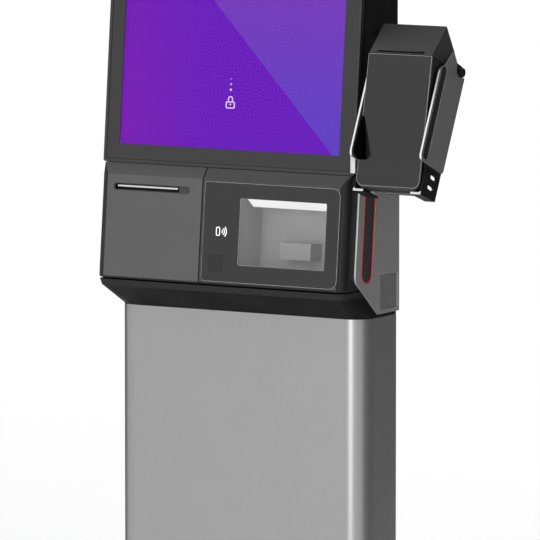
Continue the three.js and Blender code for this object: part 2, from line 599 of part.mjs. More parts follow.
function display() {
  const height = (DISPLAY_TOP - DISPLAY_FOOT.z) / Math.cos(DISPLAY_TILT);
  const half = HEAD_HALF;
  const { thickness, carrier, rim } = BEZEL;
  const lcdLow = ACTIVE.bottom - 2;
  const lcdHigh = ACTIVE.bottom + ACTIVE.height + 2;
  const lcdHalf = ACTIVE.half + 2;
  const bezel = cut(
    plate(rounded(-half, half, 0, height, 3), 0, thickness),
    plate(rounded(-half + rim, half - rim, rim, height - rim, 2), -1, 1.7),
    plate(rounded(-lcdHalf - GAP, lcdHalf + GAP, lcdLow - GAP, lcdHigh + GAP, 1), -1, thickness + 1),
  );
  add('display_bezel', bezel, GRAPHITE_PLASTIC, displayFrame);
  const inner = rim + GAP;
  const glass = plate(rounded(-half + inner, half - inner, inner, height - inner, 1.8), 0.2, 1.4);
  add('display_glass', glass, BLACK_GLASS, displayFrame);
  add('lcd_panel', plate(rounded(-lcdHalf, lcdHalf, lcdLow, lcdHigh, 0.8), 1.8, 9.5), SCREEN, displayFrame);
  const carrierRing = cut(
    plate(rounded(-half + 0.9, half - 0.9, 0.9, height - 0.9, 2.5), thickness + GAP, carrier),
    plate(rounded(-lcdHalf - 1, lcdHalf + 1, lcdLow - 1, lcdHigh + 1, 1), 0, 12),
  );
  add('display_carrier', carrierRing, BLACK_PLASTIC, displayFrame);

  const slope = Math.tan(DISPLAY_TILT);
  const depth = (carrier + GAP) / Math.cos(DISPLAY_TILT);
  const front = (z) => DISPLAY_FOOT.y + (z - DISPLAY_FOOT.z) * slope + depth;
  const outside = (z) => ({ z, half, front: front(z), back: PEDESTAL.back, radius: 1, rear: 5 });
  const inside = (z) => ({
    z, half: half - HOUSING_WALL, front: front(z) - 20, back: PEDESTAL.back + 9, radius: 1, rear: 1,
  });
  const low = DISPLAY_FOOT.z - 0.25;
  const shell = cut(
    loft([outside(low), outside(DISPLAY_TOP - 0.4)]),
    loft([inside(low + HOUSING_WALL), inside(DISPLAY_TOP - HOUSING_WALL)]),
  );
  const ledge = cut(
    box(-half + 1, half - 1, PEDESTAL.back - 6, PEDESTAL.back - 3.4, low + 1, DISPLAY_TOP - 2),
    box(-half + 14, half - 14, 20, 40, low + 14, DISPLAY_TOP - 14),
  );
  const sidePlug = bar('x', [-9.2, 298.4], 4, half - 2, half + 0.8, 16);
  const cableWay = box(
    CABLE_WAY.left, CABLE_WAY.right, CABLE_WAY.front, CABLE_WAY.back, low - 1, low + HOUSING_WALL + 1,
  );
  add('display_housing', join(cut(shell, cableWay), ledge, sidePlug), GRAPHITE_PLASTIC, head);

  const gap = HOUSING_WALL + 0.4;
  const rear = plate(
    rounded(-half + gap, half - gap, low + gap, DISPLAY_TOP - 0.4 - gap, 2), PEDESTAL.back - 3, PEDESTAL.back,
  );
  const slots = [...vents(70, low + 60, 6), ...vents(70, DISPLAY_TOP - 150, 6)];
  add('display_rear_cover', cut(rear, ...slots), BLACK_PLASTIC, head);
  const board = join(
    box(-80, 80, 8, 9.6, 330, 520),
    box(-24, 24, -2, 8.5, 400, 448),
    box(-72, -40, 2, 8.5, 340, 372),
    box(36, 74, 3, 8.5, 340, 356),
  );
  add('main_board', board, CIRCUIT, head);
}

// ---------------------------------------------------------------- side arm
// A cast plate bears on the display's side, and the arm runs from it to the back of the tilt bracket.
function sideArm() {
  const plateFace = PANEL.outer + 6.5;
  const foot = { y: -22, z: 138, radius: 9 };
  const outline = new THREE.Shape();
  outline.moveTo(foot.y + foot.radius, foot.z);
  outline.lineTo(foot.y + foot.radius, 176);
  outline.lineTo(-30, 190);
  outline.lineTo(-60, 190);
  outline.lineTo(-69, 177);
  outline.lineTo(-69, 157.2);
  outline.lineTo(-45, 157.2);
  outline.lineTo(foot.y - foot.radius, 150);
  outline.lineTo(foot.y - foot.radius, foot.z);
  outline.absarc(foot.y, foot.z, foot.radius, Math.PI, 2 * Math.PI, false);
  add('mount_plate', profile(outline, PANEL.outer + 0.6, plateFace), BRIGHT_STEEL, head);
  const route = new THREE.CatmullRomCurve3([
    new THREE.Vector3(plateFace - 3, -27, 153),
    new THREE.Vector3(174, -28, 153),
    new THREE.Vector3(191, -33, 152.5),
    new THREE.Vector3(203, -42, 152),
  ]);
  const section = rounded(-6.5, 6.5, -8, 8, 4);
  const bent = new THREE.ExtrudeGeometry(section, {
    steps: 12, extrudePath: route, curveSegments: 3, bevelEnabled: false,
  });
  const insidePlate = box(100, plateFace + GAP, -80, 20, 100, 200);
  const spineBack = BRACKET.back + GAP;
  const pastSpine = box(100, 300, -200, spineBack, -200, 200)
    .rotate([-THREE.MathUtils.radToDeg(CRADLE_TILT), 0, 0])
    .translate([0, CRADLE_FOOT.y, CRADLE_FOOT.z]);
  add('mount_arm', cut(solid(bent), insidePlate, pastSpine), BRIGHT_STEEL, head);
}

// ---------------------------------------------------------------- terminal cradle
// Its own frame: w runs back from the cheeks' front edges, v runs up along them.
const cradle = new THREE.Group();
cradle.position.set(0, CRADLE_FOOT.y, PEDESTAL_TOP + CRADLE_FOOT.z);
cradle.rotation.x = -CRADLE_TILT;
root.add(cradle);

function cheekOutline() {
  const shape = new THREE.Shape();
  shape.moveTo(48.9, -3);
  shape.lineTo(51.4, 0);
  shape.lineTo(52, 103);
  shape.lineTo(34.5, 103);
  shape.lineTo(31.4, 109.5);
  shape.lineTo(30.6, 113);
  shape.lineTo(21.5, 119.6);
  shape.quadraticCurveTo(19.6, 120.8, 18.4, 118.6);
  shape.lineTo(9.5, 102.6);
  shape.lineTo(3, 97.6);
  shape.quadraticCurveTo(0, 95, 0, 91);
  shape.lineTo(0, 2);
  shape.quadraticCurveTo(0.4, -3.6, 6, -3.9);
  return shape;
}

function cheeks() {
  const inlayLine = [{ y: 9, z: 4 }, { y: 9, z: 95 }];
  const rodSeat = (x0, x1) => bar('x', [ROD.w, ROD.v], ROD.radius + 0.5, x0, x1, 20);
  const sides = { left: CHEEK.left, right: CHEEK.right - CHEEK.skin };
  for (const [side, x] of Object.entries(sides)) {
    const skin = profile(cheekOutline(), x, x + CHEEK.skin);
    const opening = profile(capsule(...inlayLine, 5.5), x - 1, x + CHEEK.skin + 1);
    add(`cheek_${side}`, cut(skin, opening, rodSeat(x - 1, x + 3)), GREY_PAINT, cradle);
    const inlay = profile(capsule(...inlayLine, 5.2), x + 0.2, x + CHEEK.skin - 0.2);
    add(`cheek_inlay_${side}`, inlay, BLACK_PLASTIC, cradle);
  }
}

function cradleFrame() {
  const { skin, back, rest: restBack } = PLATE;
  const { width, thickness, front, frontFoot, backFoot } = FLANGE;
  const left = CHEEK.left + CHEEK.skin + GAP;
  const right = CHEEK.right - CHEEK.skin - GAP;
  const side = polygon([
    [front, frontFoot], [back, backFoot], [back, 98], [47.5, 114], [35, 114],
    [33.5, 104], [8, 92], [4, 40], [8, 2], [front, -8],
  ]);
  const sides = [left, right - skin].map((x) => cut(
    profile(side, x, x + skin),
    profile(rounded(32.2, 44.2, -13.8, -9.4, 2), x - 1, x + 3),
    profile(rounded(30.7, 42.7, -25.3, -20.9, 2), x - 1, x + 3),
    bar('x', [ROD.w, ROD.v], ROD.radius + GAP, x - 1, x + 3, 20),
  ));
  const backPlate = cut(
    box(left, right, restBack, restBack + skin, -8, 96),
    plate(rounded(188, 222, 12, 70, 5), restBack - 2, restBack + 4),
  );
  const flange = polygon([
    [front, frontFoot], [back, backFoot], [back, backFoot + thickness], [front, frontFoot + thickness],
  ]);
  const flanges = [left, right - width].map((x) => profile(flange, x, x + width));
  add('cradle_frame', join(...sides, ...flanges, backPlate), BLACK_PLASTIC, cradle);
  const rod = bar('x', [ROD.w, ROD.v], ROD.radius, CHEEK.left - 3, CHEEK.right + 3.4, 20);
  add('hinge_rod', rod, BLACK_PLASTIC, cradle);

  // The jaw fills the wedge between the cheek's front edge and the terminal's steeper face.
  const reach = TERMINAL.left + 10;
  const slope = (TERMINAL.browDepth - TERMINAL.face) / (TERMINAL.brow - TERMINAL.foot);
  const behindJaw = (v) => TERMINAL.face + (v - TERMINAL.foot) * slope - 0.6;
  const lip = 0.8;
  const tip = TERMINAL.foot + (lip + 0.6 - TERMINAL.face) / slope;
  const wedge = profile(polygon([[lip, -2], [behindJaw(-5), -5], [lip, tip]]), left + 2.3, reach);
  const sweep = plate(polygon([
    [left, -10], [reach - 4, -10], [reach, -6], [TERMINAL.left + 1, 50], [left, 52],
  ]), -5, 30);
  add('retaining_jaw', wedge.intersect(sweep), BLACK_PLASTIC, cradle);
}

function tiltBracket() {
  const { left, right, front, back, bottom, top } = BRACKET;
  const lug = polygon([
    [38, 98.6], [47, 98], [front, 92], [back, 96], [back, top], [46, 113.4], [37.6, 112.6], [34.8, ROD.v],
  ]);
  const lugs = [left, right - 4].map((x) => cut(
    profile(lug, x, x + 4),
    bar('x', [ROD.w, ROD.v], ROD.radius + GAP, x - 1, x + 5, 20),
  ));
  add('tilt_bracket', join(box(left, right, front, back, bottom, top), ...lugs), BLACK_PLASTIC, cradle);
}

// ---------------------------------------------------------------- card terminal
function terminal() {
  const { left, width, foot, face, brow, browDepth, back } = TERMINAL;
  const right = left + width;
  const lean = Math.atan2(face - browDepth, brow - foot);
  const length = (brow - foot) / Math.cos(lean);
  const { top, heel, shell } = HOOD;

  const glassFrame = new THREE.Group();
  glassFrame.position.set(0, face, foot);
  glassFrame.rotation.x = lean;
  cradle.add(glassFrame);
  const glass = plate(rounded(left, right, 0, length - GAP, [8, 8, 0.8, 0.8]), 0, 1.4);
  add('terminal_glass', glass, BLACK_GLASS, glassFrame);

  const inset = (1.4 + GAP) / Math.cos(lean);
  const rim = brow + 0.5;
  const outline = polygon([
    [face + inset + 0.4, foot - 1.4], [back - 1.5, foot - 1.4], [back, foot + 0.6], [back, heel.v - 5],
    [COVER_REAR + 0.6, heel.v - 2.4], [COVER_REAR + 0.6, rim], [browDepth + inset + 0.8, rim],
    [browDepth + inset - 0.2, brow],
  ]);
  const footCorners = plate(rounded(left + 0.6, right - 0.6, foot - 1.4, heel.v, [8, 8, 0.5, 0.5]), -30, 50);
  const body = cut(
    profile(outline, left + 0.6, right - 0.6).intersect(footCorners),
    bar('x', [TERMINAL_ROLL.w, TERMINAL_ROLL.v], TERMINAL_ROLL.radius + 1.4, left + 7, right - 7, 32),
  );
  add('terminal_body', body, BLACK_PLASTIC, cradle);

  // The printer cover is a hood with side walls, hinged along its rear edge.
  const brink = { w: browDepth + 0.7, v: brow + 1.8 };
  const seam = rim + GAP;
  const outerHood = polygon([
    [brink.w, brink.v], [top.w, top.v], [heel.w, heel.v], [COVER_REAR, heel.v - 2.2],
    [COVER_REAR, seam + 0.8], [15, seam], [brink.w + 0.3, seam],
  ]);
  const innerHood = polygon([
    [brink.w + 6, seam - 2], [top.w + 0.8, top.v - 4], [heel.w - 1, heel.v - 3], [COVER_REAR + 2, heel.v - 6],
    [COVER_REAR + 2, seam - 2],
  ]);
  const slot = profile(polygon([
    [brink.w - 1, brink.v + 0.9], [brink.w + 8, brink.v - 2], [brink.w + 8, brink.v + 0.2],
    [brink.w - 1, brink.v + 3.2],
  ]), left + 9.5, right - 11);
  const cover = cut(profile(outerHood, left, right), profile(innerHood, left + shell, right - shell), slot);
  add('terminal_printer_cover', cover, GRAPHITE_PLASTIC, cradle);
  const roll = cut(
    bar('x', [TERMINAL_ROLL.w, TERMINAL_ROLL.v], TERMINAL_ROLL.radius, left + 9, right - 9, 28),
    bar('x', [TERMINAL_ROLL.w, TERMINAL_ROLL.v], TERMINAL_ROLL.core, left, right, 16),
  );
  add('terminal_paper_roll', roll, PAPER, cradle);
}

base();
pedestalShell();
rearDoor();
power();
lowerHousing();
printerDoor();
printer();
scanner();
skirt();
sidePanels();
display();
sideArm();
cheeks();
cradleFrame();
tiltBracket();
terminal();

export default root;
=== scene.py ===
"""Self checkout kiosk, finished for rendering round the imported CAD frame. Metres, +Z up, -Y is the front."""
import json
import math

import bmesh
import bpy
from mathutils import Euler, Matrix, Vector


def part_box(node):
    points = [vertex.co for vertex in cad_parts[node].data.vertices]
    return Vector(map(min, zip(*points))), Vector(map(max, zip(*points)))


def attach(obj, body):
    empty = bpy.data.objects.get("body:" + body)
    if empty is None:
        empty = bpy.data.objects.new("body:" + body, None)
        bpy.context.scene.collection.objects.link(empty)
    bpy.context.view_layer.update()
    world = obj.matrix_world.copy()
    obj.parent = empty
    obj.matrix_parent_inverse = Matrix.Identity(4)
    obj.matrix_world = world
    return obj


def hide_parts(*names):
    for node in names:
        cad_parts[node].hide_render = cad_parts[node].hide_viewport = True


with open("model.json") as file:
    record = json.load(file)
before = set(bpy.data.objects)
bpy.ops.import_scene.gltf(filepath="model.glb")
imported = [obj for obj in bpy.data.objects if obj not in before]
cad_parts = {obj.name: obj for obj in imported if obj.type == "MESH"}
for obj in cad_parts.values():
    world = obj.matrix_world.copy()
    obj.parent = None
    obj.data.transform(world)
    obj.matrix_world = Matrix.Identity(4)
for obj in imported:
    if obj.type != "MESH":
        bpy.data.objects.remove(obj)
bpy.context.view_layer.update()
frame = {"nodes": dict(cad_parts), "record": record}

MM = 0.001

# World heights: the pedestal's top, the start of the module's top bevel and of the skirt's lip, and the top
# of the two flanges at the cradle's foot.
PEDESTAL_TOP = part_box("pedestal_shell")[1].z
BEVEL_START = PEDESTAL_TOP + 141.3 * MM
SKIRT_LIP = PEDESTAL_TOP + 23.5 * MM
FLANGE_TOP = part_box("cradle_frame")[0].z + 13.21 * MM

# The module's and the display's leaning fronts. Each foot is its y and its height above the pedestal, in mm.
MODULE_LEAN = math.radians(5.5)
MODULE_FOOT = (-78.8, 32)
DISPLAY_LEAN = math.radians(5.19)
DISPLAY_FOOT = (-59.68, 153.6)

# The lit area: half its width, and its lower and upper edge as world heights.
ACTIVE_HALF = 133.9 * MM
ACTIVE_LOW = PEDESTAL_TOP + (DISPLAY_FOOT[1] + 19.7 * math.cos(DISPLAY_LEAN)) * MM
ACTIVE_HIGH = ACTIVE_LOW + 476 * math.cos(DISPLAY_LEAN) * MM

# The terminal's cover: how far it leans and slopes, its front edge as (y, z), and the middle and half the
# width of its paper slot.
CRADLE_LEAN = math.radians(25)
HOOD_SLOPE = math.atan2(15.4, 37.0)
HOOD_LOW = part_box("terminal_printer_cover")[0]
HOOD_BRINK = (HOOD_LOW.y + 0.16 * MM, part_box("terminal_glass")[1].z + 1.63 * MM)
PAPER_SLOT_X = HOOD_LOW.x + 36.8 * MM
PAPER_SLOT_HALF = 27 * MM

BODY_OF = {node: body for body, nodes in frame["record"]["behaviour"]["bodies"].items() for node in nodes}
SLOT_OF = {part["node"]: part["material_slot"] for part in frame["record"]["subparts"]}


# ---------------------------------------------------------------- colour
def linear(value):
    """One display value, 0 to 255, as scene-linear light."""
    share = value / 255
    return share / 12.92 if share <= 0.04045 else ((share + 0.055) / 1.055) ** 2.4


def rgb(red, green, blue):
    return (linear(red), linear(green), linear(blue), 1.0)


def grey(level):
    return (level, level, level, 1.0)


# ---------------------------------------------------------------- material graph
class Graph:
    """A Principled material with short ways to add nodes, its patterns placed in the object's own metres."""

    def __init__(self, name):
        self.material = bpy.data.materials.new(name)
        self.material.use_nodes = True
        self.tree = self.material.node_tree
        self.shader = self.tree.nodes["Principled BSDF"]
        self.place = self.node("ShaderNodeTexCoord").outputs["Object"]

    def node(self, kind, **settings):
        made = self.tree.nodes.new(kind)
        for key, value in settings.items():
            setattr(made, key, value)
        return made

    def feed(self, socket, value):
        if isinstance(value, bpy.types.NodeSocket):
            self.tree.links.new(value, socket)
        else:
            socket.default_value = value

    def set(self, **values):
        for key, value in values.items():
            self.feed(self.shader.inputs[key.replace("_", " ")], value)
        return self

    def stretched(self, scale):
        mapping = self.node("ShaderNodeMapping")
        self.feed(mapping.inputs["Vector"], self.place)
        mapping.inputs["Scale"].default_value = scale
        return mapping.outputs["Vector"]

    def noise(self, scale, detail, stretch=None):
        made = self.node("ShaderNodeTexNoise")
        self.feed(made.inputs["Vector"], self.stretched(stretch) if stretch else self.place)
        made.inputs["Scale"].default_value = scale
        made.inputs["Detail"].default_value = detail
        return made.outputs["Fac"]

    def cells(self, scale, output="Distance"):
        made = self.node("ShaderNodeTexVoronoi")
        self.feed(made.inputs["Vector"], self.place)
        made.inputs["Scale"].default_value = scale
        return made.outputs[output]

    def math(self, operation, first, second=0.0):
        made = self.node("ShaderNodeMath", operation=operation)
        self.feed(made.inputs[0], first)
        self.feed(made.inputs[1], second)
        return made.outputs[0]

    def remap(self, value, low, high, to_low, to_high):
        made = self.node("ShaderNodeMapRange", interpolation_type="SMOOTHSTEP")
        self.feed(made.inputs["Value"], value)
        for key, number in (("From Min", low), ("From Max", high), ("To Min", to_low), ("To Max", to_high)):
            made.inputs[key].default_value = number
        return made.outputs["Result"]

    def mix(self, share, first, second):
        made = self.node("ShaderNodeMix", data_type="RGBA")
        self.feed(made.inputs[0], share)
        self.feed(made.inputs[6], first)
        self.feed(made.inputs[7], second)
        return made.outputs[2]

    def facing_front(self):
        """1 on faces that look towards the customer, in the piece's own directions."""
        made = self.node("ShaderNodeSeparateXYZ")
        self.feed(made.inputs[0], self.node("ShaderNodeTexCoord").outputs["Normal"])
        return self.remap(made.outputs["Y"], -0.8, -0.6, 1.0, 0.0)

    def rim(self):
        """1 on faces that look sideways or down: the inside of seams and the turn of a rounded border."""
        made = self.node("ShaderNodeSeparateXYZ")
        self.feed(made.inputs[0], self.node("ShaderNodeTexCoord").outputs["Normal"])
        sideways = self.remap(self.math("ABSOLUTE", made.outputs["X"]), 0.02, 0.12, 0.0, 1.0)
        return self.math("MAXIMUM", sideways, self.remap(made.outputs["Z"], -0.25, -0.05, 1.0, 0.0))

    def axes(self):
        made = self.node("ShaderNodeSeparateXYZ")
        self.feed(made.inputs[0], self.place)
        return made.outputs

    def bump(self, height, depth, strength):
        made = self.node("ShaderNodeBump")
        self.feed(made.inputs["Height"], height)
        made.inputs["Distance"].default_value = depth
        made.inputs["Strength"].default_value = strength
        self.feed(self.shader.inputs["Normal"], made.outputs["Normal"])

    def edge(self, width):
        """1 along every rounded edge."""
        rounded = self.node("ShaderNodeBevel", samples=4)
        rounded.inputs["Radius"].default_value = width
        geometry = self.node("ShaderNodeNewGeometry")
        facing = self.node("ShaderNodeVectorMath", operation="DOT_PRODUCT")
        self.feed(facing.inputs[0], rounded.outputs["Normal"])
        self.feed(facing.inputs[1], geometry.outputs["Normal"])
        return self.remap(facing.outputs["Value"], 0.999, 0.93, 0.0, 1.0)

    def worn_edge(self, width):
        """The edges that hands and trolleys rub, broken up so that it isn't a drawn line."""
        return self.math("MULTIPLY", self.edge(width), self.remap(self.noise(60, 4), 0.38, 0.62, 0.15, 1.0))


def painted(name, level, metallic, roughness, painted_front_highlight=0.0):
    """Sprayed metallic paint: flakes, orange peel, rubbed edges, and if asked a painted highlight:
    front-facing faces painted lighter.
    """
    g = Graph(name)
    flakes = g.cells(2600, "Color")
    split = g.node("ShaderNodeSeparateColor")
    g.feed(split.inputs[0], flakes)
    sparkle = g.remap(split.outputs[0], 0.0, 1.0, 0.94, 1.06)
    patches = g.remap(g.noise(7, 3), 0.3, 0.7, 0.99, 1.01)
    tone = g.math("MULTIPLY", sparkle, patches)
    base = g.node("ShaderNodeVectorMath", operation="SCALE")
    base.inputs[0].default_value = grey(level)[:3]
    g.feed(base.inputs["Scale"], tone)
    rubbed = g.math("MULTIPLY", g.worn_edge(0.0012), 0.25)
    colour = g.mix(rubbed, base.outputs[0], grey(min(1.0, level * 1.9)))
    rough = g.remap(g.noise(38, 4), 0.3, 0.7, roughness - 0.015, roughness + 0.015)
    # Painted highlight: faces that look to the front are painted lighter, for the light that front edges
    # catch.
    if painted_front_highlight:
        colour = g.mix(g.facing_front(), colour, grey(painted_front_highlight))
    g.set(Base_Color=colour, Metallic=metallic, Roughness=rough)
    g.bump(g.noise(420, 2), 0.00006, 0.5)
    return g.material


def powder(name, level, roughness=0.55, shine=0.5, painted_highlight_below=0.0):
    """Powder coat: a tight orange-peel texture over steel, worn bright on its edges, with a painted highlight
    of bright metal on front faces below a height.
    """
    g = Graph(name)
    colour = g.mix(g.math("MULTIPLY", g.worn_edge(0.001), 0.3), grey(level), grey(level * 3 + 0.05))
    rough = g.remap(g.noise(55, 3), 0.3, 0.7, roughness - 0.07, roughness + 0.07)
    metallic = 0.0
    # Painted highlight: front faces below the height become bright grey metal, for the light the flange fronts
    # catch.
    if painted_highlight_below:
        below = g.remap(g.axes()[2], painted_highlight_below, painted_highlight_below + MM, 1.0, 0.0)
        metallic = g.math("MULTIPLY", g.facing_front(), below)
        colour = g.mix(metallic, colour, grey(0.6))
    g.set(Base_Color=colour, Metallic=metallic, Roughness=rough, Specular_IOR_Level=shine)
    g.bump(g.cells(1500), 0.00012, 0.6)
    return g.material


def moulded(name, level, roughness, shine=0.5, bevel=None, bevel_start=BEVEL_START, painted_rim_shade=False):
    """Injection-moulded plastic: spark-eroded grain and faint flow clouds.

    The part above bevel_start can have its own tone. The rim option paints shade into seams and onto rounded
    sides: a darker colour and less shine there.
    """
    g = Graph(name)
    clouds = g.remap(g.noise(11, 4), 0.3, 0.7, 0.0, 1.0)
    colour = g.mix(clouds, grey(level * 0.94), grey(level * 1.06))
    if bevel:
        colour = g.mix(g.remap(g.axes()[2], bevel_start, bevel_start + MM, 0.0, 1.0), colour, grey(bevel))
    colour = g.mix(g.math("MULTIPLY", g.worn_edge(0.0008), 0.35), colour, grey(level * 1.5 + 0.02))
    rough = g.remap(g.noise(26, 4), 0.3, 0.7, roughness - 0.05, roughness + 0.06)
    # Painted shade: faces that look sideways or down are darkened, for the shade inside seams and on rounded
    # sides.
    if painted_rim_shade:
        rim = g.rim()
        colour = g.mix(rim, colour, grey(level * 0.1))
        rough = g.math("ADD", rough, g.math("MULTIPLY", rim, 0.4))
    g.set(Base_Color=colour, Roughness=rough, Specular_IOR_Level=shine)
    g.bump(g.noise(2200, 2), 0.00005, 0.55)
    return g.material


def hood_finish(name, level):
    """The terminal cover's moulding, with painted shade: black inside its paper slot, which lies just behind
    the front edge.
    """
    g = Graph(name)
    x, y, z = g.axes()
    turn = CRADLE_LEAN + HOOD_SLOPE
    behind = g.math("ADD", g.math("MULTIPLY", y, math.cos(turn)), g.math("MULTIPLY", z, -math.sin(turn)))
    face = HOOD_BRINK[0] * math.cos(turn) - HOOD_BRINK[1] * math.sin(turn)
    inside = g.remap(behind, face + 0.7 * MM, face + 0.9 * MM, 0.0, 1.0)
    near_lip = g.remap(z, HOOD_BRINK[1] + 3.5 * MM, HOOD_BRINK[1] + 4.5 * MM, 1.0, 0.0)
    near_front = g.remap(y, HOOD_BRINK[0] + 5 * MM, HOOD_BRINK[0] + 6 * MM, 1.0, 0.0)
    painted_slot_shade = g.math("MULTIPLY", inside, g.math("MULTIPLY", near_lip, near_front))
    side = g.math("ABSOLUTE", g.math("SUBTRACT", x, PAPER_SLOT_X))
    within = g.remap(side, PAPER_SLOT_HALF - 0.2 * MM, PAPER_SLOT_HALF + 0.2 * MM, 1.0, 0.0)
    painted_slot_shade = g.math("MULTIPLY", painted_slot_shade, within)
    clouds = g.remap(g.noise(11, 4), 0.3, 0.7, 0.0, 1.0)
    # Painted shade: the inside of the paper slot is coloured black.
    colour = g.mix(painted_slot_shade, g.mix(clouds, grey(level * 0.94), grey(level * 1.06)), grey(0.0005))
    g.set(Base_Color=colour, Roughness=g.remap(painted_slot_shade, 0.0, 1.0, 0.42, 1.0))
    g.bump(g.noise(2200, 2), 0.00005, 0.55)
    return g.material


def gloss_panel(name, level, ground_and_highlight=0.0009):
    """A dark printed panel with fine wiping marks and a lighter edge, partly a ground edge and partly a
    painted highlight.
    """
    g = Graph(name)
    wiped = g.noise(9, 5, stretch=(1.0, 1.0, 5.0))
    rough = g.remap(wiped, 0.35, 0.7, 0.12, 0.22)
    colour = g.mix(g.noise(4, 2), grey(level * 0.92), grey(level * 1.08))
    # Lighter edge: a ground edge and a painted highlight along the panel's rim.
    colour = g.mix(g.edge(ground_and_highlight), colour, grey(0.45))
    g.set(Base_Color=colour, Roughness=rough)
    g.bump(g.noise(900, 1), 0.00001, 0.2)
    return g.material


def metal(name, level, roughness, direction=(1.0, 60.0, 60.0)):
    """Plated or cast metal with a drawn grain."""
    g = Graph(name)
    grain = g.noise(160, 3, stretch=direction)
    colour = g.mix(grain, grey(level * 0.85), grey(min(1.0, level * 1.12)))
    rough = g.remap(grain, 0.3, 0.7, roughness - 0.06, roughness + 0.08)
    g.set(Base_Color=colour, Metallic=1.0, Roughness=rough)
    g.bump(grain, 0.00003, 0.4)
    return g.material


def rubber(name, level):
    g = Graph(name)
    g.set(Base_Color=g.mix(g.noise(30, 4), grey(level * 0.8), grey(level * 1.4)), Roughness=0.86)
    g.bump(g.cells(700), 0.0002, 0.7)
    return g.material


def wound_paper(name):
    """Thermal paper: the wound edges show as fine rings across the roll's ends."""
    g = Graph(name)
    fibres = g.noise(900, 3)
    colour = g.mix(fibres, rgb(232, 230, 224), rgb(246, 244, 240))
    g.set(Base_Color=colour, Roughness=0.78)
    g.bump(g.noise(420, 2, stretch=(12.0, 1.0, 1.0)), 0.00008, 0.5)
    return g.material


def circuit(name):
    g = Graph(name)
    tracks = g.node("ShaderNodeTexBrick")
    g.feed(tracks.inputs["Vector"], g.place)
    tracks.inputs["Scale"].default_value = 160
    colour = g.mix(tracks.outputs["Fac"], rgb(20, 84, 52), rgb(34, 112, 66))
    g.set(Base_Color=colour, Roughness=0.42)
    g.bump(tracks.outputs["Fac"], 0.00005, 0.5)
    return g.material


def glow(name, colour, strength):
    """A lit diffuser, a little uneven where the light source sits behind it."""
    g = Graph(name)
    dimmer = tuple(c * 0.93 for c in colour[:3]) + (1,)
    uneven = g.mix(g.remap(g.noise(14, 2), 0.3, 0.7, 0.0, 1.0), dimmer, colour)
    g.set(Base_Color=grey(0.08), Roughness=0.5, Emission_Color=uneven, Emission_Strength=strength)
    return g.material


def wallpaper(name):
    """The lit display: two flat purple facets that meet along a slanting line, each shading slowly."""
    g = Graph(name)
    x, _, z = g.axes()
    corner_a = Vector((-27.2 * MM, PEDESTAL_TOP + 327.9 * MM))
    corner_b = Vector((123.1 * MM, PEDESTAL_TOP + 174.7 * MM))
    along = (corner_b - corner_a).normalized()
    across = g.math("ADD", g.math("MULTIPLY", x, -along.y), g.math("MULTIPLY", z, along.x))
    line = corner_a.x * -along.y + corner_a.y * along.x
    facet = g.remap(across, line - 0.2 * MM, line + 0.4 * MM, 0.0, 1.0)
    sideways = g.remap(x, -0.134, -0.02, 0.0, 1.0)
    upward = g.remap(z, PEDESTAL_TOP + 0.17, PEDESTAL_TOP + 0.42, 0.0, 1.0)
    low = g.mix(sideways, rgb(126, 18, 191), rgb(110, 16, 199))
    low = g.mix(g.math("MULTIPLY", upward, 0.5), low, rgb(110, 18, 198))
    high = g.mix(upward, rgb(102, 64, 206), rgb(131, 57, 195))
    pixels = g.remap(g.noise(2400, 0), 0.3, 0.7, 0.985, 1.0)
    image = g.mix(facet, low, high)
    g.set(Base_Color=grey(0.004), Roughness=0.3, Specular_IOR_Level=0.0)
    g.set(Emission_Color=image, Emission_Strength=g.math("MULTIPLY", pixels, g.facing_front()))
    return g.material


def cover_glass(name, half_width, low, high):
    """Clear over the lit area, printed black round it."""
    g = Graph(name)
    x, _, z = g.axes()
    soft = 0.15 * MM
    beside = g.remap(g.math("ABSOLUTE", x), half_width - soft, half_width + soft, 0.0, 1.0)
    below = g.remap(z, low - soft, low + soft, 1.0, 0.0)
    above = g.remap(z, high - soft, high + soft, 0.0, 1.0)
    border = g.math("MAXIMUM", beside, g.math("MAXIMUM", below, above))
    smears = g.remap(g.noise(5, 5, stretch=(1.0, 1.0, 3.0)), 0.35, 0.75, 0.1, 0.2)
    g.set(Base_Color=grey(0.012), Roughness=smears, Alpha=g.remap(border, 0.0, 1.0, 0.07, 1.0))
    return g.material


def clear_window(name):
    g = Graph(name)
    dust = g.remap(g.noise(45, 4), 0.45, 0.75, 0.05, 0.16)
    g.set(Base_Color=grey(0.2), Roughness=dust, Alpha=0.15)
    return g.material


def lacquer(name, colour):
    """Clear-coated colour on a thin trim."""
    g = Graph(name)
    g.set(Base_Color=colour, Roughness=0.3, Coat_Weight=0.4)
    g.bump(g.noise(800, 1), 0.00002, 0.3)
    return g.material


def glowing_ink(name, shade):
    """Screen-printed marks with a painted glow, so that they stay readable in shadow."""
    g = Graph(name)
    # Painted light: the white print glows a little though it is no lamp.
    g.set(Base_Color=rgb(245, 245, 245), Roughness=0.5, Emission_Color=shade, Emission_Strength=0.25)
    g.bump(g.noise(3000, 1), 0.00001, 0.2)
    return g.material


